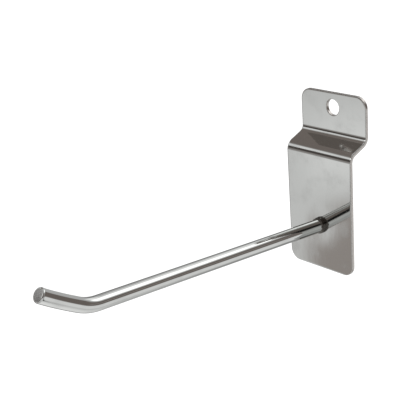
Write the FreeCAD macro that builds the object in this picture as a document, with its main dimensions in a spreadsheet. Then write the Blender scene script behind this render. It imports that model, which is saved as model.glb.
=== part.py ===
import FreeCAD, Part

import math
import os

import Sketcher

# A slatwall hook: a folded sheet plate whose raised tab drops in behind the lip of a
# wall groove, and a round wire arm with an upturned tip, welded to the plate's front.
#
# Frame: the wall is the plane Y = 0 and the plate's back lies on it. The arm points to
# -Y and the tab to +Z. The origin is at the plate's mid width, at the height where the
# arm's centre line leaves the plate. All lengths are millimetres, all angles degrees.

SIZES = {
    "plate_width": (36.0, "width of the folded plate"),
    "sheet_thickness": (1.6, "sheet that the plate is folded from"),
    "plate_drop": (20.0, "arm centre down to the lower edge"),
    "step_height": (34.3, "arm centre up to where the plate's front meets the step"),
    "step_rise": (22.0, "slope of the step above the horizontal"),
    "lip_gap": (8.6, "wall plane back to the front of the tab, room for the slat's lip"),
    "tab_height": (18.6, "height of the tab's front above the step, folds left sharp"),
    "bend_radius": (3.0, "inside radius of both folds"),
    "corner_radius": (5.0, "rounding of the four sheet corners"),
    "edge_round": (0.3, "rounding along the sheet's blanked outline"),
    "screw_hole_radius": (3.5, "hole through the tab"),
    "screw_hole_drop": (6.5, "hole centre below the upper edge"),
    "screw_hole_round": (0.2, "rounding of the hole's two rims"),
    "wire_radius": (3.0, "arm wire"),
    "arm_rise": (3.5, "slope of the arm above square to the plate"),
    "arm_straight": (117.5, "straight length of the arm from the plate's front"),
    "tip_bend_radius": (20.0, "centre line radius where the tip turns up"),
    "tip_bend_turn": (25.5, "turn of that bend"),
    "tip_curve_radius": (190.0, "centre line radius of the gently curved tip"),
    "tip_curve_length": (18.2, "length of the curved tip"),
    "tip_edge_round": (0.8, "rounding of the cut end"),
    "weld_width": (0.6, "how far the weld bead stands out from the wire"),
    "weld_height": (2.2, "how far the bead climbs the wire"),
    "weld_land": (1.1, "height of the bead's full-width foot"),
    "weld_edge_round": (0.35, "rounding of the bead's shoulder"),
}

# How far apart two values may be and still name the same place.
SAME = 1e-4

# Two lengths that follow from the sizes: the height of the upper edge above the arm's
# centre, and the outside radius of the weld bead.
TAB_TOP = (
    "(Sizes.step_height + (Sizes.sheet_thickness + Sizes.lip_gap)"
    " * tan(Sizes.step_rise * 1 deg) + Sizes.tab_height)"
)
BEAD_RADIUS = "(Sizes.wire_radius + Sizes.weld_width)"

# Sketcher's own numbers: the two axes as lines, the origin as a point, and which end of
# an edge is meant.
ACROSS_AXIS = -1
UP_AXIS = -2
ORIGIN = (-1, 1)
START = 1
END = 2
CENTRE = 3


# Shared steps


def make_sheet(doc):
    """Put every driving size into a spreadsheet cell that its alias names."""
    sheet = doc.addObject("Spreadsheet::Sheet", "Sizes")
    for row, (alias, (value, note)) in enumerate(SIZES.items(), start=1):
        sheet.set(f"A{row}", note)
        sheet.set(f"B{row}", str(value))
        sheet.setAlias(f"B{row}", alias)
    doc.recompute()
    return sheet


def origin_feature(body, role):
    """Find one of the body's own origin planes or axes by its role."""
    return next(item for item in body.Origin.OriginFeatures if item.Role == role)


def add_sketch(body, name, role):
    """Start a sketch on one of the body's own origin planes."""
    sketch = body.newObject("Sketcher::SketchObject", name)
    sketch.AttachmentSupport = [(origin_feature(body, role), "")]
    sketch.MapMode = "FlatFace"
    return sketch


def constrain(sketch, kind, *where, to=None):
    """Add one constraint, driven from the sheet where an expression is given."""
    index = sketch.addConstraint(Sketcher.Constraint(kind, *where))
    if to is not None:
        sketch.setExpression(f"Constraints[{index}]", to)


def add_outline(sketch, points):
    """Draw a closed outline of straight lines, corner on corner."""
    corners = [FreeCAD.Vector(x, y, 0) for x, y in points]
    count = len(corners)
    for i in range(count):
        sketch.addGeometry(Part.LineSegment(corners[i], corners[(i + 1) % count]), False)
    for i in range(count):
        constrain(sketch, "Coincident", i, END, (i + 1) % count, START)


def edges_where(shape, wanted):
    """Name the edges of a shape that pass a test, as a dress-up feature wants them."""
    return [f"Edge{i}" for i, edge in enumerate(shape.Edges, start=1) if wanted(edge)]


def add_round(body, name, base, edges, radius):
    """Round the named edges of a feature with a radius given as an expression."""
    rounding = body.newObject("PartDesign::Fillet", name)
    rounding.Base = (base, edges)
    rounding.setExpression("Radius", radius)
    body.Document.recompute()
    return rounding


def add_cut(body, name, sketch, side, length=None):
    """Pocket a sketch through the body, to one side or to both."""
    cut = body.newObject("PartDesign::Pocket", name)
    cut.Profile = sketch
    cut.SideType = side
    if length is None:
        cut.Type = "ThroughAll"
    else:
        cut.setExpression("Length", length)
    body.Document.recompute()
    return cut


# Back plate


def sketch_fold_profile(body, size):
    """Sketch the plate's side view, with sharp folds that are rounded afterwards.

    The sketch's horizontal is Y and its vertical is Z. Returns the sketch, the corners
    inside its two folds and the corners outside them.
    """
    thick, gap = size["sheet_thickness"], size["lip_gap"]
    low, step, tall = -size["plate_drop"], size["step_height"], size["tab_height"]
    slope = math.radians(size["step_rise"])
    deep = gap + thick

    def step_top(y):
        return step + (y + thick) * math.tan(slope)

    def step_under(y):
        return step_top(y) - thick / math.cos(slope)

    sketch = add_sketch(body, "fold_profile", "YZ_Plane")
    high = step_top(gap) + tall
    plate = [(-thick, low), (0, low), (0, step_under(0))]
    tab = [(deep, step_under(deep)), (deep, high), (gap, high), (gap, step_top(gap))]
    add_outline(sketch, plate + tab + [(-thick, step)])
    bottom, back, step_back, tab_back, top, tab_front, step_front, front = range(8)
    for line in (bottom, top):
        constrain(sketch, "Horizontal", line)
    for line in (back, tab_back, tab_front, front):
        constrain(sketch, "Vertical", line)
    constrain(sketch, "PointOnObject", bottom, END, UP_AXIS)
    constrain(sketch, "Parallel", step_back, step_front)
    thickness = "Sizes.sheet_thickness"
    constrain(sketch, "DistanceX", bottom, START, bottom, END, thick, to=thickness)
    constrain(sketch, "DistanceX", top, END, top, START, thick, to=thickness)
    constrain(sketch, "Distance", step_back, START, step_front, thick, to=thickness)
    constrain(sketch, "DistanceX", *ORIGIN, top, END, gap, to="Sizes.lip_gap")
    constrain(sketch, "DistanceY", bottom, END, *ORIGIN, -low, to="Sizes.plate_drop")
    height = "Sizes.tab_height"
    constrain(sketch, "DistanceY", tab_front, END, tab_front, START, tall, to=height)
    constrain(sketch, "DistanceY", *ORIGIN, front, START, step, to="Sizes.step_height")
    constrain(sketch, "Angle", step_back, slope, to="Sizes.step_rise * 1 deg")
    body.Document.recompute()
    inside = [sketch.getPoint(line, START) for line in (step_back, step_front)]
    outside = [sketch.getPoint(line, END) for line in (step_back, step_front)]
    return sketch, inside, outside


def runs_across_at(edge, corners):
    """Tell whether an edge runs across the width over one of the profile's corners."""
    box = edge.BoundBox
    across = box.YLength < SAME and box.ZLength < SAME
    return across and any(
        math.hypot(box.Center.y - corner.x, box.Center.z - corner.y) < SAME
        for corner in corners
    )


def is_sheet_corner(edge, sheet_box):
    """Tell whether an edge runs through the sheet at one of its four corners."""
    box = edge.BoundBox
    through = box.XLength < SAME and box.ZLength < SAME
    ends = (sheet_box.ZMin, sheet_box.ZMax)
    return through and any(abs(box.Center.z - height) < SAME for height in ends)


def is_blanked(face):
    """Tell a blanked face, square to the sheet, from the sheet's own two skins.

    Blanked faces are the flat sides and ends, and the round walls of the corners,
    whose axes run through the sheet. The folds' axes run across it.
    """
    axis = face.Surface.Axis
    if isinstance(face.Surface, Part.Cylinder):
        return abs(axis.y) > 1 - SAME
    return abs(axis.x) > 1 - SAME or abs(axis.z) > 1 - SAME


def make_back_plate(doc, size):
    """Fold the plate: pad its side view, round folds and corners, and cut the hole."""
    body = doc.addObject("PartDesign::Body", "back_plate")
    profile, inside, outside = sketch_fold_profile(body, size)
    pad = body.newObject("PartDesign::Pad", "sheet_strip")
    pad.Profile = profile
    pad.SideType = "Symmetric"
    pad.setExpression("Length", "Sizes.plate_width")
    doc.recompute()

    edges = edges_where(pad.Shape, lambda edge: runs_across_at(edge, inside))
    folds = add_round(body, "inside_folds", pad, edges, "Sizes.bend_radius")
    edges = edges_where(folds.Shape, lambda edge: runs_across_at(edge, outside))
    outer = "Sizes.bend_radius + Sizes.sheet_thickness"
    folds = add_round(body, "outside_folds", folds, edges, outer)
    sheet_box = folds.Shape.BoundBox
    edges = edges_where(folds.Shape, lambda edge: is_sheet_corner(edge, sheet_box))
    corners = add_round(body, "corners", folds, edges, "Sizes.corner_radius")

    def is_outline(edge):
        faces = corners.Shape.ancestorsOfType(edge, Part.Face)
        return len({is_blanked(face) for face in faces}) > 1

    edges = edges_where(corners.Shape, is_outline)
    add_round(body, "outline_edges", corners, edges, "Sizes.edge_round")

    circle = add_sketch(body, "screw_hole_circle", "XZ_Plane")
    height = sheet_box.ZMax - size["screw_hole_drop"]
    radius = size["screw_hole_radius"]
    centre, normal = FreeCAD.Vector(0, height, 0), FreeCAD.Vector(0, 0, 1)
    circle.addGeometry(Part.Circle(centre, normal, radius), False)
    constrain(circle, "PointOnObject", 0, CENTRE, UP_AXIS)
    above = TAB_TOP + " - Sizes.screw_hole_drop"
    constrain(circle, "DistanceY", *ORIGIN, 0, CENTRE, height, to=above)
    constrain(circle, "Radius", 0, radius, to="Sizes.screw_hole_radius")
    hole = add_cut(body, "screw_hole", circle, "One side")

    def is_hole_rim(edge):
        return isinstance(edge.Curve, Part.Circle) and edge.isClosed()

    edges = edges_where(hole.Shape, is_hole_rim)
    add_round(body, "hole_rims", hole, edges, "Sizes.screw_hole_round")
    return body


# Arm and weld bead, both modelled with the arm level and then tipped up together


def tip_up(body):
    """Place a body at the arm's foot on the plate's front, with the arm's slope."""
    body.Placement.Rotation = FreeCAD.Rotation(FreeCAD.Vector(1, 0, 0), 1)
    body.setExpression("Placement.Base.y", "-Sizes.sheet_thickness")
    body.setExpression("Placement.Rotation.Angle", "-Sizes.arm_rise * 1 deg")


def cut_flush(body, size):
    """Cut off what would reach into the plate, along the plate's front.

    Seen from the level arm, the plate's front leans by the arm's slope, so the cut is a
    four-sided block whose one side passes through the foot at that slope.
    """
    reach = 2 * (size["wire_radius"] + size["weld_width"])
    lean = math.radians(size["arm_rise"])
    run, climb = reach * math.sin(lean), reach * math.cos(lean)
    sketch = add_sketch(body, "plate_front", "YZ_Plane")
    add_outline(sketch, [(run, -climb), (reach, -climb), (reach, climb), (-run, climb)])
    lower, far, upper, front = range(4)
    for line in (lower, upper):
        constrain(sketch, "Horizontal", line)
    constrain(sketch, "Vertical", far)
    constrain(sketch, "Symmetric", front, START, front, END, *ORIGIN)
    constrain(sketch, "Distance", front, 2 * reach, to="4 * " + BEAD_RADIUS)
    constrain(sketch, "DistanceX", *ORIGIN, far, START, reach, to="2 * " + BEAD_RADIUS)
    turn = "(-90 + Sizes.arm_rise) * 1 deg"
    constrain(sketch, "Angle", front, lean - math.pi / 2, to=turn)
    body.Document.recompute()
    return add_cut(body, "seat_on_plate", sketch, "Symmetric", "4 * " + BEAD_RADIUS)


def sketch_arm_path(body, size):
    """Sketch the arm's centre line: straight, a bend, then a gentle curve.

    The straight starts behind the plate's front, where it is cut flush later. All three
    stretches are tangent, and both arcs bend upwards. Returns the sketch and the tip.
    """
    length, behind = size["arm_straight"], size["wire_radius"]
    bend, curve = size["tip_bend_radius"], size["tip_curve_radius"]
    turn = math.radians(size["tip_bend_turn"])
    sweep = size["tip_curve_length"] / curve
    down = -math.pi / 2
    bend_centre = FreeCAD.Vector(-length, bend, 0)
    inward = FreeCAD.Vector(math.sin(turn), math.cos(turn), 0)
    curve_centre = bend_centre + inward * (curve - bend)
    normal = FreeCAD.Vector(0, 0, 1)

    sketch = add_sketch(body, "centre_line", "YZ_Plane")
    foot, elbow = FreeCAD.Vector(behind, 0, 0), FreeCAD.Vector(-length, 0, 0)
    sketch.addGeometry(Part.LineSegment(foot, elbow), False)
    circle = Part.Circle(bend_centre, normal, bend)
    sketch.addGeometry(Part.ArcOfCircle(circle, down - turn, down), False)
    circle = Part.Circle(curve_centre, normal, curve)
    sketch.addGeometry(Part.ArcOfCircle(circle, down - turn - sweep, down - turn), False)

    straight, tip_bend, tip_curve = range(3)
    constrain(sketch, "Tangent", straight, END, tip_bend, END)
    constrain(sketch, "Tangent", tip_bend, START, tip_curve, END)
    constrain(sketch, "Horizontal", straight)
    constrain(sketch, "PointOnObject", straight, START, ACROSS_AXIS)
    foot_x = "Sizes.wire_radius"
    constrain(sketch, "DistanceX", *ORIGIN, straight, START, behind, to=foot_x)
    constrain(sketch, "DistanceX", straight, END, *ORIGIN, length, to="Sizes.arm_straight")
    constrain(sketch, "Radius", tip_bend, bend, to="Sizes.tip_bend_radius")
    constrain(sketch, "Radius", tip_curve, curve, to="Sizes.tip_curve_radius")
    constrain(sketch, "Angle", tip_bend, turn, to="Sizes.tip_bend_turn * 1 deg")
    swept = "Sizes.tip_curve_length / Sizes.tip_curve_radius * 1 rad"
    constrain(sketch, "Angle", tip_curve, sweep, to=swept)
    body.Document.recompute()
    tip = sketch.getPoint(tip_curve, START)
    return sketch, FreeCAD.Vector(0, tip.x, tip.y)


def make_arm(doc, size):
    """Bend the arm: sweep the wire along its centre line and trim both ends."""
    body = doc.addObject("PartDesign::Body", "arm")
    path, tip = sketch_arm_path(body, size)
    section = add_sketch(body, "wire_section", "XZ_Plane")
    centre, normal = FreeCAD.Vector(0, 0, 0), FreeCAD.Vector(0, 0, 1)
    section.addGeometry(Part.Circle(centre, normal, size["wire_radius"]), False)
    constrain(section, "Coincident", 0, CENTRE, *ORIGIN)
    constrain(section, "Radius", 0, size["wire_radius"], to="Sizes.wire_radius")
    section.setExpression("AttachmentOffset.Base.z", "-Sizes.wire_radius")
    doc.recompute()

    wire = body.newObject("PartDesign::AdditivePipe", "wire")
    wire.Profile = section
    wire.Spine = path
    doc.recompute()
    seated = cut_flush(body, size)

    def is_cut_end(edge):
        return edge.CenterOfMass.distanceToPoint(tip) < SAME

    edges = edges_where(seated.Shape, is_cut_end)
    add_round(body, "cut_end_rounding", seated, edges, "Sizes.tip_edge_round")
    tip_up(body)
    return body


def make_weld_bead(doc, size):
    """Turn the weld bead round the wire's foot, with a sloped shoulder above its land."""
    body = doc.addObject("PartDesign::Body", "weld_bead")
    inner = size["wire_radius"]
    outer = inner + size["weld_width"]
    high, land = size["weld_height"], size["weld_land"]
    sketch = add_sketch(body, "bead_section", "YZ_Plane")
    add_outline(sketch, [(inner, inner), (-high, inner), (-land, outer), (inner, outer)])
    bore, shoulder, outside, back = range(4)
    for line in (bore, outside):
        constrain(sketch, "Horizontal", line)
    constrain(sketch, "Vertical", back)
    constrain(sketch, "DistanceX", *ORIGIN, bore, START, inner, to="Sizes.wire_radius")
    constrain(sketch, "DistanceY", *ORIGIN, bore, START, inner, to="Sizes.wire_radius")
    constrain(sketch, "DistanceY", *ORIGIN, outside, END, outer, to=BEAD_RADIUS)
    constrain(sketch, "DistanceX", bore, END, *ORIGIN, high, to="Sizes.weld_height")
    constrain(sketch, "DistanceX", shoulder, END, *ORIGIN, land, to="Sizes.weld_land")
    doc.recompute()

    ring = body.newObject("PartDesign::Revolution", "bead")
    ring.Profile = sketch
    ring.ReferenceAxis = (sketch, ["H_Axis"])
    doc.recompute()
    seated = cut_flush(body, size)

    def is_shoulder(edge):
        box = edge.BoundBox
        at_land = box.YLength < SAME and abs(box.Center.y + land) < SAME
        return at_land and isinstance(edge.Curve, Part.Circle)

    edges = edges_where(seated.Shape, is_shoulder)
    add_round(body, "shoulder_rounding", seated, edges, "Sizes.weld_edge_round")
    tip_up(body)
    return body


# Build and write


def check(doc, bodies):
    """Stop if any feature failed, or if a sub-part is not one sound solid."""
    failed = [item.Name for item in doc.Objects if {"Invalid", "Error"} & set(item.State)]
    if failed:
        raise RuntimeError("features that failed: " + ", ".join(failed))
    for body in bodies:
        if body.Shape.isNull() or not body.Shape.isValid() or len(body.Shape.Solids) != 1:
            raise RuntimeError("not one sound solid: " + body.Label)


def main():
    """Build the three sub-parts and write each as a STEP file."""
    doc = FreeCAD.newDocument("slatwall_hook")
    make_sheet(doc)
    size = {alias: value for alias, (value, note) in SIZES.items()}
    bodies = [make_back_plate(doc, size), make_arm(doc, size), make_weld_bead(doc, size)]
    doc.recompute()
    check(doc, bodies)
    os.makedirs("parts", exist_ok=True)
    for body in bodies:
        body.Shape.exportStep(os.path.join("parts", body.Label + ".step"))


main()
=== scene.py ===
"""Dresses a chrome-plated slatwall hook and sets it up for its portrait.

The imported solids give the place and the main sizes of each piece. The folded plate, the
bent wire arm and the weld bead are each rebuilt here with exact smooth surfaces, because
bright plating shows every facet, and are then given their finishes. All lengths are
metres and all angles degrees, unless a name says otherwise.
"""

import logging
import math
from dataclasses import dataclass, field, replace
from enum import Enum

import bpy
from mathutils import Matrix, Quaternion, Vector, noise


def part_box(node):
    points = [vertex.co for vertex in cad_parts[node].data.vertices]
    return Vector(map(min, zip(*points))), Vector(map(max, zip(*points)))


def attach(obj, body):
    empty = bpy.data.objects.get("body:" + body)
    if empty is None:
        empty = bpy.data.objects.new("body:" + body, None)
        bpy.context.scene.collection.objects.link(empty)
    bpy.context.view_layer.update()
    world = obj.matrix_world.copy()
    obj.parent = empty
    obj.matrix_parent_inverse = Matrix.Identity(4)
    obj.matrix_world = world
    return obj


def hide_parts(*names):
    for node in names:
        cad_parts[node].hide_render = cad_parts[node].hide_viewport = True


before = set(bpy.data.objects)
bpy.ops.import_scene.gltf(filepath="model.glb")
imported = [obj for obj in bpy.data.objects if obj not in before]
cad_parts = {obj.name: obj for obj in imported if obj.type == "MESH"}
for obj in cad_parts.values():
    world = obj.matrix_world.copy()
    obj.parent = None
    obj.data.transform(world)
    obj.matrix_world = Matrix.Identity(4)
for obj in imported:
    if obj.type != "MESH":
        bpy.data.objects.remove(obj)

LOG = logging.getLogger("slatwall_hook")
MM = 0.001

# Slope of the arm above square to the plate, which the weld bead shares.
ARM_RISE = 3.5

# Mesh attribute that is 1 where the metal was sheared or sawn.
CUT_MARK = "cut_surface"

# The press left faint marks on the plate's step. These are the heights between which the
# step and its folds lie, how softly the marks start, how fine they are, and how much slower
# they change across the width.
STEP_SPAN = (32 * MM, 41 * MM)
PRESS_FADE = 1.5 * MM
PRESS_GRAIN = 0.8 * MM
PRESS_DRAW = 0.02


class Node(Enum):
    """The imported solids, by name."""

    PLATE = "back_plate"
    ARM = "arm"
    BEAD = "weld_bead"


class Slot(Enum):
    """The record's material slots, by name."""

    SHEET = "plated_sheet"
    WIRE = "plated_wire"
    WELD = "plated_weld"


# Node trees


class Value:
    """A number that flows through a node tree, with the usual signs of arithmetic."""

    def __init__(self, graph: "Graph", socket: bpy.types.NodeSocket) -> None:
        """Remember the tree and the socket that carries the number."""
        self.graph = graph
        self.socket = socket

    def __add__(self, other: object) -> "Value":
        """Add."""
        return self.graph.math("ADD", self, other)

    def __sub__(self, other: object) -> "Value":
        """Subtract."""
        return self.graph.math("SUBTRACT", self, other)

    def __rsub__(self, other: object) -> "Value":
        """Subtract this from a plain number."""
        return self.graph.math("SUBTRACT", other, self)

    def __mul__(self, other: object) -> "Value":
        """Multiply."""
        return self.graph.math("MULTIPLY", self, other)

    def __truediv__(self, other: object) -> "Value":
        """Divide."""
        return self.graph.math("DIVIDE", self, other)

    def __rtruediv__(self, other: object) -> "Value":
        """Divide a plain number by this."""
        return self.graph.math("DIVIDE", other, self)

    def sin(self) -> "Value":
        """Sine of an angle in radians."""
        return self.graph.math("SINE", self)

    def cos(self) -> "Value":
        """Cosine of an angle in radians."""
        return self.graph.math("COSINE", self)

    def between(self, low: object, high: object) -> "Value":
        """Hold the value between two limits."""
        return self.graph.math("MINIMUM", self.graph.math("MAXIMUM", self, low), high)


class Graph:
    """A node tree, with short ways to add nodes and to write sums on their sockets."""

    def __init__(self, tree: bpy.types.NodeTree) -> None:
        """Take hold of a tree that already exists."""
        self.tree = tree

    def add(self, kind: str, **settings: object) -> bpy.types.Node:
        """Add a node and set its properties.

        Args:
            kind: the node's type.
            **settings: its properties by name.

        Returns:
            The new node.
        """
        node = self.tree.nodes.new(kind)
        for name, value in settings.items():
            setattr(node, name, value)
        return node

    def put(self, socket: bpy.types.NodeSocket, value: object) -> None:
        """Link a value to an input, or write it there when it is a constant.

        Args:
            socket: the input.
            value: a Value, a node socket, a number or a sequence of numbers.
        """
        if isinstance(value, Value):
            value = value.socket
        if isinstance(value, bpy.types.NodeSocket):
            self.tree.links.new(value, socket)
        else:
            socket.default_value = value

    def feed(self, node: bpy.types.Node, **inputs: object) -> bpy.types.Node:
        """Fill a node's inputs by name, with underscores for spaces.

        Args:
            node: the node to fill.
            **inputs: what goes into each input.

        Returns:
            The same node.
        """
        for name, value in inputs.items():
            self.put(node.inputs[name.replace("_", " ")], value)
        return node

    def math(self, operation: str, *terms: object) -> Value:
        """Add one math node.

        Args:
            operation: what it does, in the node's own word.
            *terms: its inputs in order.

        Returns:
            Its result.
        """
        node = self.add("ShaderNodeMath", operation=operation)
        for socket, term in zip(node.inputs, terms):
            self.put(socket, term)
        return Value(self, node.outputs[0])

    def vector(self, x: object, y: object, z: object) -> bpy.types.NodeSocket:
        """Join three values into one vector."""
        return self.feed(self.add("ShaderNodeCombineXYZ"), X=x, Y=y, Z=z).outputs[0]

    def split(self, vector: bpy.types.NodeSocket) -> tuple[Value, ...]:
        """Take a vector apart into its three values."""
        node = self.feed(self.add("ShaderNodeSeparateXYZ"), Vector=vector)
        return tuple(Value(self, socket) for socket in node.outputs)

    def fade(self, amount: object, low: object, high: object) -> Value:
        """Map a value smoothly to a share.

        Args:
            amount: the value.
            low: where the share is 0. It may lie above high.
            high: where the share is 1.

        Returns:
            The share.
        """
        node = self.add("ShaderNodeMapRange", interpolation_type="SMOOTHSTEP")
        self.feed(node, Value=amount, From_Min=low, From_Max=high)
        return Value(self, node.outputs["Result"])

    def mix(self, share: object, first: object, second: object) -> bpy.types.NodeSocket:
        """Mix two colours.

        Args:
            share: how much of the second.
            first: the colour at share 0.
            second: the colour at share 1.

        Returns:
            The mixed colour.
        """
        node = self.add("ShaderNodeMix", data_type="RGBA")
        for socket, term in zip((node.inputs[0], *node.inputs[6:8]), (share, first, second)):
            self.put(socket, term)
        return node.outputs[2]

    def noise(self, place: object, scale: object, detail: float) -> Value:
        """Sample soft noise, mostly from 0.3 to 0.7."""
        node = self.feed(self.add("ShaderNodeTexNoise"), Vector=place, Scale=scale, Detail=detail)
        return Value(self, node.outputs[0])

    def given(self) -> dict[str, Value]:
        """Add the group's input node and give its sockets by name."""
        node = self.add("NodeGroupInput")
        return {socket.name: Value(self, socket) for socket in node.outputs if socket.name}

    def give(self, **results: object) -> None:
        """Add the group's output node and feed it by name."""
        self.feed(self.add("NodeGroupOutput"), **results)


def shader_group(name: str, inputs: dict[str, float], outputs: list[str]) -> Graph:
    """Start a shader node group whose named sockets all carry numbers.

    Args:
        name: the group's name.
        inputs: default value of each input.
        outputs: name of each output.

    Returns:
        The new group's graph.
    """
    tree = bpy.data.node_groups.new(name, "ShaderNodeTree")
    for label, default in inputs.items():
        socket = tree.interface.new_socket(label, in_out="INPUT", socket_type="NodeSocketFloat")
        socket.default_value = default
    for label in outputs:
        tree.interface.new_socket(label, in_out="OUTPUT", socket_type="NodeSocketFloat")
    return Graph(tree)


# Finishes


@dataclass(frozen=True)
class Plating:
    """How one piece's bright plating looks.

    Smudges dull the polish in clouds and ripple bends reflections a little. The stretch draws
    the ripple out along the height. The cut values hold where the metal was sheared or sawn,
    and the press marks on the plate's step only.
    """

    colour: tuple[float, float, float]
    roughness: float
    smudge: float
    smudge_size: float
    ripple: float
    ripple_size: float
    stretch: float
    cut_colour: tuple[float, float, float]
    cut_roughness: float
    cut_grain: float
    press_marks: float = 0.0


SHEET_PLATING = Plating(
    colour=(0.595, 0.603, 0.59),
    roughness=0.05,
    smudge=0.08,
    smudge_size=9 * MM,
    ripple=0.006 * MM,
    ripple_size=4 * MM,
    stretch=4.0,
    cut_colour=(0.50, 0.465, 0.44),
    cut_roughness=0.16,
    cut_grain=0.09 * MM,
    press_marks=0.02 * MM,
)
WIRE_PLATING = Plating(
    colour=(0.595, 0.603, 0.59),
    roughness=0.045,
    smudge=0.06,
    smudge_size=7 * MM,
    ripple=0.002 * MM,
    ripple_size=4 * MM,
    stretch=1.0,
    cut_colour=(0.32, 0.312, 0.304),
    cut_roughness=0.2,
    cut_grain=0.03 * MM,
)
WELD_PLATING = Plating(
    colour=(0.10, 0.092, 0.083),
    roughness=0.15,
    smudge=0.20,
    smudge_size=1.6 * MM,
    ripple=0.014 * MM,
    ripple_size=0.9 * MM,
    stretch=1.0,
    cut_colour=(0.10, 0.09, 0.08),
    cut_roughness=0.55,
    cut_grain=0.05 * MM,
)


class Finisher:
    """Makes the plated materials, which share two effects: the film and the cut metal."""

    SMUDGE_EDGE = (0.46, 0.72)
    SMUDGE_SHADE = 0.85
    SMUDGE_SHARE = 0.5
    RAGGEDNESS = 0.9
    RAGGED_EDGE = (0.35, 0.75)
    MARK_EDGE = (0.02, 0.2)
    PATCH_GAIN = 1.4
    PATCH_BASE = 0.1

    def __init__(self) -> None:
        """Build the shared effects once."""
        self.film = self.make_film()
        self.cut = self.make_cut()

    def make_film(self) -> bpy.types.NodeTree:
        """Build the plating film: polish smudges, a faint ripple and the step's press marks.

        Returns:
            The shared group.
        """
        sizes = {"Smudge size": 0.01, "Ripple size": 0.005, "Stretch": 1.0}
        graph = shader_group("plating_film", sizes, ["Smudge", "Ripple", "Press marks"])
        given = graph.given()
        place = graph.add("ShaderNodeTexCoord").outputs["Object"]
        x, y, z = graph.split(place)
        drawn = graph.vector(x, y, z / given["Stretch"])
        cloud = graph.noise(place, 1.0 / given["Smudge size"], 5.0)
        streak = graph.noise(drawn, 1.0 / given["Ripple size"], 2.0)
        low, high = STEP_SPAN
        on_step = graph.fade(z, low, low + PRESS_FADE) * graph.fade(z, high, high - PRESS_FADE)
        scored = graph.noise(graph.vector(x * PRESS_DRAW, y, z), 1.0 / PRESS_GRAIN, 2.0)
        smudge = graph.fade(cloud, *self.SMUDGE_EDGE)
        graph.give(Smudge=smudge, Ripple=streak, Press_marks=on_step * scored)
        return graph.tree

    def make_cut(self) -> bpy.types.NodeTree:
        """Build the cut metal: a ragged mask over the marked surfaces, and its grain.

        Returns:
            The shared group.
        """
        graph = shader_group("cut_metal", {"Grain size": 0.4 * MM}, ["Mask", "Grain"])
        given = graph.given()
        place = graph.add("ShaderNodeTexCoord").outputs["Object"]
        grain = graph.noise(place, 1.0 / given["Grain size"], 4.0)
        attribute = graph.add("ShaderNodeAttribute", attribute_name=CUT_MARK)
        mark = Value(graph, attribute.outputs["Fac"])
        ragged = graph.fade(mark + (grain - 0.5) * self.RAGGEDNESS, *self.RAGGED_EDGE)
        graph.give(Mask=ragged * graph.fade(mark, *self.MARK_EDGE), Grain=grain)
        return graph.tree

    def make(self, name: str, look: Plating) -> bpy.types.Material:
        """Make one plated material.

        Args:
            name: the material's name.
            look: its colours, polish and texture.

        Returns:
            The material.
        """
        material = bpy.data.materials.new(name)
        material.use_nodes = True
        graph = Graph(material.node_tree)
        film = graph.add("ShaderNodeGroup", node_tree=self.film)
        graph.feed(film, Smudge_size=look.smudge_size, Ripple_size=look.ripple_size)
        film.inputs["Stretch"].default_value = look.stretch
        cut = graph.add("ShaderNodeGroup", node_tree=self.cut)
        smudge, ripple, marks = (Value(graph, socket) for socket in film.outputs)
        mask, grain = (Value(graph, socket) for socket in cut.outputs)
        dulled = tuple(self.SMUDGE_SHADE * part for part in look.colour)
        plain = graph.mix(smudge * self.SMUDGE_SHARE, (*look.colour, 1), (*dulled, 1))
        patchy = mask * (grain * self.PATCH_GAIN + self.PATCH_BASE).between(0, 1)
        colour = graph.mix(patchy, plain, (*look.cut_colour, 1))
        rough = smudge * look.smudge + look.roughness + mask * look.cut_roughness
        height = ripple * (look.ripple / MM) + mask * grain * (look.cut_grain / MM)
        height = height + marks * (look.press_marks / MM)
        bump = graph.feed(graph.add("ShaderNodeBump"), Distance=MM, Height=height)
        shader = graph.tree.nodes["Principled BSDF"]
        graph.feed(shader, Base_Color=colour, Roughness=rough, Normal=bump.outputs[0])
        shader.inputs["Metallic"].default_value = 1.0
        return material


# Meshes


@dataclass
class Surface:
    """A mesh under construction, whose points carry their own normals and marks."""

    points: list[Vector] = field(default_factory=list)
    normals: list[Vector] = field(default_factory=list)
    cut: list[float] = field(default_factory=list)
    faces: list[tuple[int, ...]] = field(default_factory=list)

    def point(self, place: Vector, normal: Vector, cut: float = 0.0) -> int:
        """Add a point.

        Args:
            place: where it is.
            normal: which way the surface faces there.
            cut: 1 on a cut surface, 0 on a rolled or drawn one.

        Returns:
            The point's index.
        """
        self.points.append(place)
        self.normals.append(normal.normalized())
        self.cut.append(cut)
        return len(self.points) - 1

    def face(self, *corners: int) -> None:
        """Add a four-sided face, turned to agree with its corners' normals.

        Args:
            *corners: indices of its four points, in order round it.
        """
        a, b, c, d = (self.points[i] for i in corners)
        outward = sum((self.normals[i] for i in corners), Vector())
        inward = (c - a).cross(d - b).dot(outward) < 0
        self.faces.append(corners[::-1] if inward else corners)

    def band(self, first: list[int], second: list[int]) -> None:
        """Join two closed rows of points with a band of faces.

        Args:
            first: one row's points.
            second: the other's, as many and in the same order.
        """
        for i in range(len(first)):
            j = (i + 1) % len(first)
            self.face(first[i], first[j], second[j], second[i])

    def build(self, name: str) -> bpy.types.Object:
        """Make the object, with its exact normals and its marks.

        Args:
            name: the object's name.

        Returns:
            The object.
        """
        mesh = bpy.data.meshes.new(name)
        mesh.from_pydata([tuple(place) for place in self.points], [], self.faces)
        mesh.polygons.foreach_set("use_smooth", [True] * len(mesh.polygons))
        mesh.normals_split_custom_set_from_vertices([tuple(n) for n in self.normals])
        attribute = mesh.attributes.new(CUT_MARK, "FLOAT", "POINT")
        attribute.data.foreach_set("value", self.cut)
        return link_piece(name, mesh)


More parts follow.
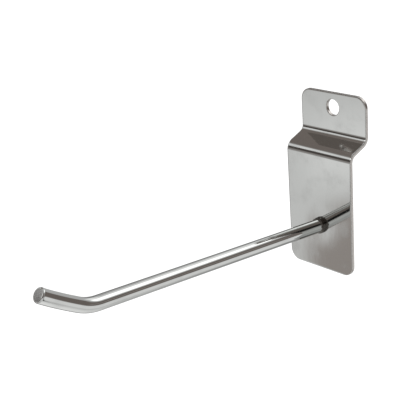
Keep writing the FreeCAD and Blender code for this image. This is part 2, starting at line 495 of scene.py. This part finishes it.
def link_piece(name: str, mesh: bpy.types.Mesh) -> bpy.types.Object:
    """Put a mesh into the scene as an object.

    Args:
        name: the object's name.
        mesh: its mesh.

    Returns:
        The object.
    """
    piece = bpy.data.objects.new(name, mesh)
    bpy.context.scene.collection.objects.link(piece)
    return piece


def dress(piece: bpy.types.Object, material: bpy.types.Material, node: Node) -> None:
    """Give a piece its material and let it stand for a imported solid.

    Args:
        piece: the finished object.
        material: its finish.
        node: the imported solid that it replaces.
    """
    piece.data.materials.clear()
    piece.data.materials.append(material)
    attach(piece, "root")
    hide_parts(node.value)
    LOG.info("%s: %d faces in place of %s", piece.name, len(piece.data.polygons), node.value)


# Back plate


@dataclass(frozen=True)
class Stretch:
    """One straight or one fold of the sheet's middle line, in the side view.

    It starts at y and z with a heading in radians, and turns evenly over its run.
    """

    y: float
    z: float
    heading: float
    turn: float
    run: float

    def at(self, distance: float) -> tuple[Vector, float]:
        """Find the line at a distance along this stretch.

        Args:
            distance: measured from the stretch's start.

        Returns:
            The place and the heading.
        """
        turned = self.turn * distance / self.run
        chord = distance
        if self.turn:
            chord = 2 * self.run / abs(self.turn) * math.sin(abs(turned) / 2)
        aim = self.heading + turned / 2
        place = Vector((0, self.y + chord * math.cos(aim), self.z + chord * math.sin(aim)))
        return place, self.heading + turned


class FoldLine:
    """The sheet's middle line seen from the side: straights joined by round folds."""

    def __init__(self, corners: list[tuple[float, float]], radius: float) -> None:
        """Lay out the stretches.

        Args:
            corners: the line's sharp corners as (y, z), from the lower end up.
            radius: radius of the folds at the middle of the sheet.
        """
        headings = [math.atan2(b[1] - a[1], b[0] - a[0]) for a, b in zip(corners, corners[1:])]
        self.stretches: list[Stretch] = []
        place = Vector((0, *corners[0]))
        for i, heading in enumerate(headings):
            turn = headings[i + 1] - heading if i + 1 < len(headings) else 0.0
            reach = (Vector((0, *corners[i + 1])) - place).length
            run = reach - radius * math.tan(abs(turn) / 2)
            pieces = [(heading, 0.0, run), (heading, turn, radius * abs(turn))]
            for piece in pieces if turn else pieces[:1]:
                self.stretches.append(Stretch(place.y, place.z, *piece))
                place = self.stretches[-1].at(piece[2])[0]
        self.length = sum(stretch.run for stretch in self.stretches)

    def at(self, distance: float) -> tuple[Vector, Vector, Vector]:
        """Find the line at a distance from its lower end.

        Args:
            distance: measured along the line.

        Returns:
            The point, the direction along the sheet and the normal of its front.
        """
        for stretch in self.stretches[:-1]:
            if distance <= stretch.run:
                break
            distance -= stretch.run
        else:
            stretch = self.stretches[-1]
        place, heading = stretch.at(distance)
        along = Vector((0, math.cos(heading), math.sin(heading)))
        return place, along, Vector((0, -along.z, along.y))

    def rows(self, step: float, fold_rows: int) -> list[float]:
        """Spread distances along the line, close together in the folds.

        Args:
            step: about how far apart they are on the straights.
            fold_rows: how many each fold has.

        Returns:
            The distances from the line's lower end.
        """
        marks, start = [0.0], 0.0
        for stretch in self.stretches:
            count = fold_rows if stretch.turn else max(1, round(stretch.run / step))
            marks += [start + stretch.run * (i + 1) / count for i in range(count)]
            start += stretch.run
        return marks


@dataclass(frozen=True)
class EdgeRow:
    """One step across the sheet's edge, from the flat of the front to that of the back.

    The inset is measured in from the outline and the height from the sheet's middle. Outward
    and upward give the surface's slope there.
    """

    inset: float
    height: float
    outward: float
    upward: float
    cut: float


@dataclass(frozen=True)
class Station:
    """One place on the sheet's outline, as a corner centre and the way out from it.

    All are in the flat sheet's own directions: x across the width and s along the sheet.
    """

    x: float
    s: float
    radius: float
    out_x: float
    out_s: float

    def mirrored(self) -> "Station":
        """Find the same place on the other side."""
        return Station(-self.x, self.s, self.radius, -self.out_x, self.out_s)

    def inset(self, depth: float) -> tuple[float, float]:
        """Find where the outline, drawn in by a depth, passes this place."""
        reach = self.radius - depth
        return self.x + self.out_x * reach, self.s + self.out_s * reach


@dataclass
class BackPlate:
    """The folded sheet: lower plate, slanted step and tab, with its hole.

    The skin rolls over towards the blanked edges and is dented round the weld. The hole's
    bareness makes its rims look cut sooner than the outer edges do.
    """

    step_height: float = 34.3 * MM
    step_rise: float = 22.0
    bend_radius: float = 3.0 * MM
    corner_radius: float = 5.0 * MM
    edge_round: float = 0.3 * MM
    roll_width: float = 0.8 * MM
    roll_depth: float = 0.035 * MM
    hole_radius: float = 3.5 * MM
    hole_drop: float = 6.5 * MM
    hole_round: float = 0.2 * MM
    hole_roll: float = 0.02 * MM
    hole_bareness: float = 4.0
    dent_depth: float = 0.08 * MM
    dent_reach: float = 5.0 * MM
    columns: int = 48
    row_step: float = 0.75 * MM
    fold_rows: int = 24
    corner_rows: int = 14
    round_rows: int = 5
    surface: Surface = field(default_factory=Surface)

    def __post_init__(self) -> None:
        """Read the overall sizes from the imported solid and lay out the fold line."""
        low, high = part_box(Node.PLATE.value)
        self.half_width = high.x
        self.half = -low.y / 2
        slope = math.radians(self.step_rise)
        front, back = -self.half, high.y - self.half
        start = self.step_height + self.half * (math.sin(slope) - 1) / math.cos(slope)
        climb = (back - front) * math.tan(slope)
        corners = [(front, low.z), (front, start), (back, start + climb), (back, high.z)]
        self.line = FoldLine(corners, self.bend_radius + self.half)

    def skin(self, x: float, s: float, row: EdgeRow, out: tuple[float, float]) -> int:
        """Add a point given in the flat sheet's own directions.

        Args:
            x: place across the width.
            s: place along the sheet.
            row: the height above the sheet's middle, the slope and the cut mark.
            out: which way is outward there, across and along.

        Returns:
            The point's index.
        """
        place, along, front = self.line.at(s)
        normal = front * row.upward + along * (out[1] * row.outward)
        normal.x = out[0] * row.outward
        height = row.height
        if height > 0:
            sunk = self.weld_dent(x, place.z)
            height -= sunk
            normal.x -= sunk * x / self.dent_reach**2
            normal.z -= sunk * place.z / self.dent_reach**2
        place = place + front * height
        place.x = x
        return self.surface.point(place, normal, row.cut)

    def weld_dent(self, x: float, z: float) -> float:
        """How far the front has sunk round the weld, where heat drew the sheet in."""
        return self.dent_depth * math.exp(-(x * x + z * z) / (2 * self.dent_reach**2))

    def edge_rows(self, rounding: float, roll_width: float, roll_depth: float) -> list[EdgeRow]:
        """Go across an edge: rolled-over skin, rounding, cut wall, and the same back.

        Args:
            rounding: radius between the skin and the cut wall.
            roll_width: how far in the skin starts to roll over.
            roll_depth: how far it has sunk where the rounding starts.

        Returns:
            The rows, from the front to the back.
        """
        rows = []
        for i in range(self.round_rows + 1):
            near = i / self.round_rows
            slope = 3 * roll_depth * near**2 / (roll_width - rounding)
            inset = roll_width + (rounding - roll_width) * near
            rows.append(EdgeRow(inset, self.half - roll_depth * near**3, slope, 1.0, 0.0))
        for i in range(1, self.round_rows + 1):
            angle = math.radians(90) * i / self.round_rows
            out, up = math.sin(angle), math.cos(angle)
            height = self.half - roll_depth - rounding * (1 - up)
            rows.append(EdgeRow(rounding * (1 - out), height, out, up, out))
        back = [EdgeRow(r.inset, -r.height, r.outward, -r.upward, r.cut) for r in rows[::-1]]
        return rows + back

    def make(self) -> bpy.types.Object:
        """Make the plate's mesh: its edge all round, two skins and the hole's wall.

        Returns:
            The plate.
        """
        radius, wide = self.corner_radius, self.half_width - self.corner_radius
        low, high = radius, self.line.length - radius
        turns = [math.radians(90) * i / self.corner_rows for i in range(self.corner_rows + 1)]
        side = [Station(wide, low, radius, math.sin(a), -math.cos(a)) for a in turns]
        for s in self.line.rows(self.row_step, self.fold_rows):
            if low + self.row_step / 4 < s < high - self.row_step / 4:
                side.append(Station(wide, s, radius, 1.0, 0.0))
        side += [Station(wide, high, radius, math.sin(a), math.cos(a)) for a in turns[::-1]]
        across = [2 * j / self.columns - 1 for j in range(1, self.columns)]
        lower = [Station(wide * u, low, radius, 0.0, -1.0) for u in across]
        upper = [Station(-wide * u, high, radius, 0.0, 1.0) for u in across]
        stations = lower + side + upper + [place.mirrored() for place in side[::-1]]
        rows = self.edge_rows(self.edge_round, self.roll_width, self.roll_depth)
        loops = [self.edge_loop(stations, row) for row in rows]
        for first, second in zip(loops, loops[1:]):
            self.surface.band(first, second)
        openings = [self.fill_skin(rows[end], loops[end], side) for end in (0, -1)]
        self.line_hole(*openings)
        return self.surface.build("folded_plate")

    def edge_loop(self, stations: list[Station], row: EdgeRow) -> list[int]:
        """Add one closed row of points all the way round the outline.

        Args:
            stations: the places round the outline.
            row: how far in and how high the points lie.

        Returns:
            The points.
        """
        return [
            self.skin(*place.inset(row.inset), row, (place.out_x, place.out_s))
            for place in stations
        ]

    def fill_skin(self, row: EdgeRow, loop: list[int], side: list[Station]) -> list[int]:
        """Fill the flat of one skin with a grid, leaving an opening round the hole.

        Args:
            row: the edge row that bounds the flat.
            loop: its points: lower edge, right side up, upper edge, left side down.
            side: the stations up the right side.

        Returns:
            The points round the opening.
        """
        inner, count = self.columns - 1, len(side)
        right = loop[inner : inner + count]
        upper = loop[inner + count : 2 * inner + count][::-1]
        left = loop[2 * inner + count :][::-1]
        grid = [[left[0], *loop[:inner], right[0]]]
        for i in range(1, count - 1):
            reach, s = side[i].inset(row.inset)
            across = [reach * (2 * j / self.columns - 1) for j in range(1, self.columns)]
            middle = [self.skin(x, s, row, (0.0, 0.0)) for x in across]
            grid.append([left[i], *middle, right[i]])
        grid.append([left[-1], *upper, right[-1]])
        return self.cover_grid(grid)

    def cover_grid(self, grid: list[list[int]]) -> list[int]:
        """Add the grid's faces, all but those over the hole.

        Args:
            grid: rows of points from the lower edge up.

        Returns:
            The points round the opening.
        """
        points = self.surface.points
        clear = self.hole_radius + self.hole_round + self.row_step
        centre = self.line.at(self.line.length - self.hole_drop)[0]
        rises = [points[row[0]].z - centre.z for row in grid]
        across = [points[k].x for k in grid[len(grid) // 2]]
        low_i = max(i for i, z in enumerate(rises) if z < -clear)
        high_i = min(i for i, z in enumerate(rises) if z > clear)
        low_j = max(j for j, x in enumerate(across) if x < -clear)
        high_j = min(j for j, x in enumerate(across) if x > clear)
        for i in range(len(grid) - 1):
            for j in range(self.columns):
                if not (low_i <= i < high_i and low_j <= j < high_j):
                    corners = grid[i][j], grid[i][j + 1], grid[i + 1][j + 1], grid[i + 1][j]
                    self.surface.face(*corners)
        loop = [grid[low_i][j] for j in range(low_j, high_j)]
        loop += [grid[i][high_j] for i in range(low_i, high_i)]
        loop += [grid[high_i][j] for j in range(high_j, low_j, -1)]
        return loop + [grid[i][low_j] for i in range(high_i, low_i, -1)]

    def line_hole(self, front: list[int], back: list[int]) -> None:
        """Add the hole's rims and wall, which are bare metal almost from the skin on.

        Args:
            front: the points round the front skin's opening.
            back: those round the back skin's.
        """
        s = self.line.length - self.hole_drop
        centre = self.line.at(s)[0]
        loops = [front]
        for row in self.edge_rows(self.hole_round, 2 * self.hole_round, self.hole_roll):
            loop = []
            row = replace(row, cut=min(1.0, self.hole_bareness * row.cut))
            for k in front:
                away = self.surface.points[k] - centre
                angle = math.atan2(away.z, away.x)
                x, up = math.cos(angle), math.sin(angle)
                reach = self.hole_radius + row.inset
                loop.append(self.skin(reach * x, s + reach * up, row, (-x, -up)))
            loops.append(loop)
        for first, second in zip(loops, [*loops[1:], back]):
            self.surface.band(first, second)


# Arm


@dataclass(frozen=True)
class WireArm:
    """The round wire: a rising straight, one bend, and a gently curved cut tip.

    The cut end is rounded, domed and rough. The foot starts inside the plate and is then
    made flush with its front.
    """

    rise: float = ARM_RISE
    straight_length: float = 117.5 * MM
    bend_radius: float = 20.0 * MM
    bend_turn: float = 25.5
    curve_radius: float = 190.0 * MM
    curve_length: float = 18.2 * MM
    end_round: float = 0.8 * MM
    end_dome: float = 0.12 * MM
    end_rough: float = 0.10 * MM
    end_grain: float = 1.1 * MM
    buried_foot: float = 0.4 * MM
    join_distance: float = 0.0005 * MM
    rings: int = 220
    round_rings: int = 12
    face_rings: int = 14
    sides: int = 72

    def sizes(self) -> dict[str, float]:
        """List the named inputs of the node tree.

        Returns:
            Their values by name.
        """
        low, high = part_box(Node.ARM.value)
        return {
            "Rise": math.radians(self.rise),
            "Plate front": high.y,
            "Wire radius": (high.x - low.x) / 2,
            "Straight length": self.straight_length,
            "Bend radius": self.bend_radius,
            "Bend turn": math.radians(self.bend_turn),
            "Curve radius": self.curve_radius,
            "Curve length": self.curve_length,
            "End round": self.end_round,
            "End dome": self.end_dome,
            "End rough": self.end_rough,
            "Buried foot": self.buried_foot,
        }

    def make(self, material: bpy.types.Material) -> bpy.types.Object:
        """Make the arm from its node tree.

        Args:
            material: its finish.

        Returns:
            The arm as a plain mesh.
        """
        tree = self.make_tree(material)
        seed = link_piece("arm_rule", bpy.data.meshes.new("arm_rule"))
        modifier = seed.modifiers.new("bent_wire", "NODES")
        modifier.node_group = tree
        sockets = {item.name: item.identifier for item in tree.interface.items_tree}
        for name, value in self.sizes().items():
            modifier[sockets[name]] = value
        evaluated = seed.evaluated_get(bpy.context.evaluated_depsgraph_get())
        mesh = bpy.data.meshes.new_from_object(evaluated)
        seed.modifiers.clear()
        bpy.data.objects.remove(seed)
        mesh.name = "wire_arm"
        return link_piece("wire_arm", mesh)

    def make_tree(self, material: bpy.types.Material) -> bpy.types.NodeTree:
        """Build the tree that bends a sheet of points round the wire's centre line.

        Args:
            material: the wire's finish.

        Returns:
            The tree.
        """
        tree = bpy.data.node_groups.new("bent_wire", "GeometryNodeTree")
        for name in self.sizes():
            tree.interface.new_socket(name, in_out="INPUT", socket_type="NodeSocketFloat")
        tree.interface.new_socket("Wire", in_out="OUTPUT", socket_type="NodeSocketGeometry")
        graph = Graph(tree)
        given = graph.given()
        grid = graph.add("GeometryNodeMeshGrid")
        graph.feed(grid, Size_X=1.0, Size_Y=1.0, Vertices_X=self.rings, Vertices_Y=self.sides + 1)
        u, v, _ = graph.split(graph.add("GeometryNodeInputPosition").outputs[0])
        run, radius, mark = self.lay_rings(graph, given, (u + 0.5) * (self.rings - 1))
        place = self.bend(graph, given, run, radius, v * math.tau, mark)
        marked = graph.add("GeometryNodeStoreNamedAttribute", data_type="FLOAT", domain="POINT")
        graph.feed(marked, Geometry=grid.outputs[0], Name=CUT_MARK, Value=mark)
        moved = graph.feed(graph.add("GeometryNodeSetPosition"), Geometry=marked.outputs[0])
        graph.put(moved.inputs["Position"], place)
        joined = graph.add("GeometryNodeMergeByDistance")
        graph.feed(joined, Geometry=moved.outputs[0], Distance=self.join_distance)
        realized = graph.feed(graph.add("GeometryNodeRealizeInstances"), Geometry=joined.outputs[0])
        smooth = graph.feed(graph.add("GeometryNodeSetShadeSmooth"), Geometry=realized.outputs[0])
        painted = graph.feed(graph.add("GeometryNodeSetMaterial"), Geometry=smooth.outputs[0])
        painted.inputs["Material"].default_value = material
        graph.give(Wire=painted.outputs[0])
        return tree

    def lay_rings(self, graph: Graph, given: dict[str, Value], ring: Value) -> tuple[Value, ...]:
        """Work out each ring's distance along the wire, its radius and its cut mark.

        Args:
            graph: the tree's graph.
            given: the tree's inputs.
            ring: the ring's number, from the foot.

        Returns:
            The distance, the radius, and the mark, which is 1 on the cut end.
        """
        body_rings = self.rings - 1 - self.round_rings - self.face_rings
        body = (ring - 1.0).between(0, body_rings - 1) / (body_rings - 1)
        past_body = ring - float(body_rings)
        corner = past_body.between(0, self.round_rings) / self.round_rings
        past_corner = ring - float(body_rings + self.round_rings)
        face = past_corner.between(0, self.face_rings) / self.face_rings
        whole = given["Straight length"] + given["Bend radius"] * given["Bend turn"]
        whole = whole + given["Curve length"] - given["End dome"]
        bent = corner * math.radians(90)
        plain = (whole - given["End round"] + given["Buried foot"]) * body - given["Buried foot"]
        dome = given["End dome"] * (face * (2.0 - face))
        run = plain + given["End round"] * bent.sin() + dome
        started = ring.between(0, 1)
        radius = (given["Wire radius"] - given["End round"] * (1.0 - bent.cos())) * started
        return run, radius * (1.0 - face), graph.fade(corner, 0.75, 1.0)

    def bend(
        self,
        graph: Graph,
        given: dict[str, Value],
        run: Value,
        radius: Value,
        angle: Value,
        mark: Value,
    ) -> bpy.types.NodeSocket:
        """Place a point of the wire's skin.

        Args:
            graph: the tree's graph.
            given: the tree's inputs.
            run: the point's distance along the wire.
            radius: its distance from the centre line.
            angle: where round the wire it is, in radians from the top.
            mark: 1 on the cut end, which is rough, and 0 elsewhere.

        Returns:
            The place.
        """
        rough_at = graph.vector(radius * angle.cos(), radius * angle.sin(), 0.0)
        bumps = graph.noise(rough_at, 1.0 / self.end_grain, 3.0)
        run = run - given["End rough"] * mark * bumps
        straight = run.between(-1.0, given["Straight length"])
        bend_run = given["Bend radius"] * given["Bend turn"]
        rest = run - given["Straight length"]
        bent = rest.between(0.0, bend_run) / given["Bend radius"]
        curved = (rest - bend_run).between(0.0, 1.0) / given["Curve radius"]
        turned = bent + curved
        ahead = straight + given["Bend radius"] * bent.sin()
        ahead = ahead + given["Curve radius"] * (turned.sin() - bent.sin())
        above = given["Bend radius"] * (1.0 - bent.cos())
        above = above + given["Curve radius"] * (bent.cos() - turned.cos())
        ahead = ahead - radius * angle.cos() * turned.sin()
        above = above + radius * angle.cos() * turned.cos()
        tilt = given["Rise"]
        out = given["Plate front"] - (ahead * tilt.cos() - above * tilt.sin())
        up = ahead * tilt.sin() + above * tilt.cos()
        flush = graph.math("MINIMUM", out, given["Plate front"])
        return graph.vector(radius * angle.sin(), flush, up)


# Weld bead


@dataclass(frozen=True)
class WeldBead:
    """The uneven collar of upset metal round the foot of the wire.

    Lobes says how quickly its unevenness changes going round, and lean turns its thickest
    place away from the top, in radians. Up to the crest, a share of the land, it keeps its
    full width.
    """

    width: float = 0.6 * MM
    height: float = 2.2 * MM
    land: float = 1.1 * MM
    crest: float = 0.7
    slope_power: float = 0.8
    unevenness: float = 0.22 * MM
    lobes: float = 2.3
    lean: float = 0.7
    overlap: float = 0.1 * MM
    rise: float = ARM_RISE
    sides: int = 96
    steps: int = 18

    def make(self) -> bpy.types.Object:
        """Make the bead as rings of points round the wire, closed inside the wire.

        Returns:
            The bead.
        """
        low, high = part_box(Node.ARM.value)
        wire, front = (high.x - low.x) / 2, high.y
        tilt = math.radians(self.rise)
        axis = Vector((0, -math.cos(tilt), math.sin(tilt)))
        up = Vector((0, math.sin(tilt), math.cos(tilt)))
        foot = Vector((0, front, 0))
        rows = [self.profile(wire, math.tau * i / self.sides) for i in range(self.sides)]
        points, faces, count = [], [], len(rows[0])
        for i, row in enumerate(rows):
            angle = math.tau * i / self.sides
            away = Vector((math.sin(angle), 0, 0)) + up * math.cos(angle)
            for reach, height in row:
                place = foot + away * reach + axis * height
                points.append((place.x, min(place.y, front), place.z))
            for k in range(count):
                ring, turn = (i + 1) % self.sides * count, (k + 1) % count
                faces.append((i * count + k, i * count + turn, ring + turn, ring + k))
        mesh = bpy.data.meshes.new("weld_collar")
        mesh.from_pydata(points, [], faces)
        mesh.polygons.foreach_set("use_smooth", [True] * len(mesh.polygons))
        return link_piece("weld_collar", mesh)

    def profile(self, wire: float, angle: float) -> list[tuple[float, float]]:
        """Draw the bead's section at one angle round the wire.

        Args:
            wire: the wire's radius.
            angle: where round the wire, in radians from the top.

        Returns:
            Points as (distance from the wire's axis, height above the plate).
        """
        round_at = Vector((math.cos(angle), math.sin(angle), 0)) * self.lobes
        wobble = noise.noise(round_at) * self.unevenness
        # The height wanders apart from the width, so its noise is read in another place.
        lift = noise.noise(round_at * 1.7 + Vector((5, 0, 0))) * 2 * self.unevenness
        upper = max(0.0, math.cos(angle + self.lean))
        reach = wire + self.width * (0.85 + 0.15 * upper) + wobble
        top, crest = self.height + lift, self.land * self.crest
        section = []
        for k in range(self.steps + 1):
            share = k / self.steps
            height = top * share
            past = max(0.0, height - crest) / (top - crest)
            bulge = (1 - past**2) ** self.slope_power
            lump = 0.5 * wobble * noise.noise(Vector((*round_at.xy * 3, share * 4)))
            section.append((wire + (reach - wire) * bulge + lump * bulge, height))
        inner = wire - self.overlap
        return [(inner, 0.0), *section, (inner, top)]


# Studio


@dataclass(frozen=True)
class Panel:
    """A soft-edged bright or dark surface of the studio, seen only in reflections.

    The azimuth turns from -Y towards +X. A warm panel loses some green and more blue.
    """

    GREEN_LOSS = 0.14
    BLUE_LOSS = 0.21

    azimuth: float
    elevation: float
    half_width: float
    half_height: float
    softness: float
    level: float
    warmth: float = 0.0

    def colour(self) -> tuple[float, float, float, float]:
        """Tint the level.

        Returns:
            The colour, with full alpha.
        """
        green = self.level * (1 - self.GREEN_LOSS * self.warmth)
        blue = self.level * (1 - self.BLUE_LOSS * self.warmth)
        return self.level, green, blue, 1.0


@dataclass(frozen=True)
class Studio:
    """The room round the hook: reflected panels, a soft lamp, a floor and the camera."""

    ground: tuple[Panel, ...] = (
        Panel(0, -90, 180, 65, 30, 0.72),
        Panel(0, -90, 180, 25, 30, 1.15),
        Panel(-100, -48, 40, 12, 8, 0.32),
        Panel(-175, -50, 26, 9, 8, 0.34),
        Panel(130, -26, 20, 17, 3, 0.96),
        Panel(100, 0, 8, 58, 3, 0.14),
        Panel(2, -51, 26, 5, 3, 0.18),
    )
    front: tuple[Panel, ...] = (
        Panel(-60, -20.9, 40, 7.5, 2.3, 0.81),
        Panel(-38, -17.7, 5.6, 1.8, 1.5, 0.98),
        Panel(-30, -35, 12.5, 14.2, 1.0, 0.41, 0.7),
        Panel(-30, -35, 13.9, 12.4, 1.0, 0.40, 0.7),
        Panel(-92, -17, 34, 16, 4, 0.12, 1.0),
        Panel(-52, -4, 36, 7, 3, 0.36, 0.5),
        Panel(-29, 10.5, 20, 9.5, 4, 0.09, 1.0),
        Panel(-56, 29, 34, 5, 3, 0.95),
        Panel(-80, 46, 56, 9, 5, 0.22, 1.0),
        Panel(38, 38, 42, 26, 8, 0.27, 1.0),
        Panel(46, -9, 20, 15, 4, 0.85),
        Panel(43, 27, 13, 13, 4, 0.02),
        Panel(-25, 32, 9, 8.5, 3, 2.1),
        Panel(-45, 22, 2.5, 3.5, 1.5, 0.95),
    )
    back: tuple[Panel, ...] = (
        Panel(142, 9, 30, 18, 5, 0.20, 1.0),
        Panel(125, 8, 9, 1.5, 1.5, 0.46, 0.5),
        Panel(158, 52, 26, 17, 4, 1.9),
        Panel(-166, 40, 16, 13, 6, 1.15),
        Panel(-130, 14, 14, 11, 5, 0.20),
        Panel(-138, -12, 14, 14, 5, 1.3),
    )
    base_level: float = 0.62
    plain_level: float = 0.9
    lamp_power: float = 2.4
    lamp_size: float = 0.8
    lamp_place: tuple[float, float, float] = (-0.25, 0.35, 0.9)
    floor_drop: float = 0.2
    floor_size: float = 30.0
    floor_grey: float = 0.35
    floor_glow: float = 0.82
    camera_place: tuple[float, float, float] = (0.270762, -0.291256, 0.159801)
    camera_azimuth: float = 50.02
    camera_elevation: float = 20.59
    camera_roll: float = -4.38
    lens: float = 84.49
    clip: tuple[float, float] = (0.01, 100.0)

    def set_up(self) -> None:
        """Build the whole studio."""
        bpy.context.scene.view_settings.view_transform = "Standard"
        self.paint_room()
        self.hang_lamp()
        self.lay_floor()
        self.aim_camera()

    def panel_mask(self) -> bpy.types.NodeTree:
        """Build the group that masks one soft panel by direction.

        Returns:
            The shared group.
        """
        names = ["Azimuth", "Elevation", "Centre azimuth", "Centre elevation"]
        names += ["Half width", "Half height", "Softness"]
        graph = shader_group("soft_panel", dict.fromkeys(names, 0.0), ["Mask"])
        given = graph.given()
        # The shorter way round from the panel's centre, whatever the two azimuths are.
        turn = given["Azimuth"] - given["Centre azimuth"] + 540.0
        side = graph.math("ABSOLUTE", graph.math("MODULO", turn, 360.0) - 180.0)
        rise = graph.math("ABSOLUTE", given["Elevation"] - given["Centre elevation"])
        soft = given["Softness"]
        across = graph.fade(side, given["Half width"] + soft, given["Half width"] - soft)
        upright = graph.fade(rise, given["Half height"] + soft, given["Half height"] - soft)
        graph.give(Mask=across * upright)
        return graph.tree

    def paint_room(self) -> None:
        """Paint the world: white for the camera, panels for metal, plain for the rest."""
        world = bpy.data.worlds.new("studio")
        bpy.context.scene.world = world
        world.use_nodes = True
        graph = Graph(world.node_tree)
        x, y, z = graph.split(graph.add("ShaderNodeTexCoord").outputs["Generated"])
        azimuth = graph.math("ARCTAN2", x, y * -1.0) * math.degrees(1)
        elevation = graph.math("ARCSINE", z) * math.degrees(1)
        group = self.panel_mask()
        room = (self.base_level,) * 3 + (1.0,)
        for panel in self.ground + self.front + self.back:
            mask = graph.add("ShaderNodeGroup", node_tree=group)
            graph.feed(mask, Azimuth=azimuth, Elevation=elevation)
            graph.feed(mask, Centre_azimuth=panel.azimuth, Centre_elevation=panel.elevation)
            graph.feed(mask, Half_width=panel.half_width, Half_height=panel.half_height)
            graph.feed(mask, Softness=panel.softness)
            room = graph.mix(mask.outputs[0], room, panel.colour())
        path = graph.add("ShaderNodeLightPath").outputs
        plain = (self.plain_level,) * 3 + (1.0,)
        seen = graph.mix(path["Is Glossy Ray"], plain, room)
        seen = graph.mix(path["Is Camera Ray"], seen, (1.0, 1.0, 1.0, 1.0))
        graph.feed(graph.tree.nodes["Background"], Color=seen, Strength=1.0)

    def hang_lamp(self) -> None:
        """Hang one large soft lamp above and behind, kept out of the reflections."""
        lamp = bpy.data.lights.new("softbox", "AREA")
        lamp.size = self.lamp_size
        lamp.energy = self.lamp_power
        hung = bpy.data.objects.new("softbox", lamp)
        hung.location = self.lamp_place
        hung.rotation_euler = (-Vector(self.lamp_place)).to_track_quat("-Z", "Y").to_euler()
        hung.visible_glossy = False
        bpy.context.scene.collection.objects.link(hung)

    def lay_floor(self) -> None:
        """Lay a pale floor well below, white to the camera where nothing shades it."""
        half = self.floor_size / 2
        mesh = bpy.data.meshes.new("floor")
        corners = [(-half, -half), (half, -half), (half, half), (-half, half)]
        mesh.from_pydata([(x, y, -self.floor_drop) for x, y in corners], [], [(0, 1, 2, 3)])
        floor = link_piece("floor", mesh)
        material = bpy.data.materials.new("pale_floor")
        material.use_nodes = True
        graph = Graph(material.node_tree)
        shader = graph.tree.nodes["Principled BSDF"]
        shader.inputs["Base Color"].default_value = (self.floor_grey,) * 3 + (1.0,)
        shader.inputs["Roughness"].default_value = 1.0
        shader.inputs["Specular IOR Level"].default_value = 0.0
        path = graph.add("ShaderNodeLightPath").outputs
        shader.inputs["Emission Color"].default_value = (1.0, 1.0, 1.0, 1.0)
        glow = Value(graph, path["Is Camera Ray"]) * self.floor_glow
        graph.feed(shader, Emission_Strength=glow)
        mesh.materials.append(material)
        floor.visible_glossy = False

    def aim_camera(self) -> None:
        """Set the camera where the photograph was taken from."""
        data = bpy.data.cameras.new("camera")
        data.lens = self.lens
        camera = bpy.data.objects.new("camera", data)
        turn, rise = math.radians(self.camera_azimuth), math.radians(self.camera_elevation)
        flat = math.cos(rise)
        back = Vector((math.sin(turn) * flat, -math.cos(turn) * flat, math.sin(rise)))
        level = (-back).to_track_quat("-Z", "Y")
        roll = Quaternion((0, 0, 1), math.radians(self.camera_roll))
        camera.rotation_mode = "QUATERNION"
        camera.rotation_quaternion = level @ roll
        camera.location = self.camera_place
        data.clip_start, data.clip_end = self.clip
        bpy.context.scene.collection.objects.link(camera)
        bpy.context.scene.camera = camera


def main() -> None:
    """Build the hook piece by piece, then the studio round it."""
    logging.basicConfig(level=logging.INFO, format="%(name)s %(message)s")
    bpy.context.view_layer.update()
    finisher = Finisher()
    sheet = finisher.make("bright_sheet_plating", SHEET_PLATING)
    wire = finisher.make("bright_wire_plating", WIRE_PLATING)
    weld = finisher.make("dull_weld_plating", WELD_PLATING)
    dress(BackPlate().make(), sheet, Node.PLATE)
    dress(WireArm().make(wire), wire, Node.ARM)
    dress(WeldBead().make(), weld, Node.BEAD)
    Studio().set_up()


if __name__ == "__main__":
    main()
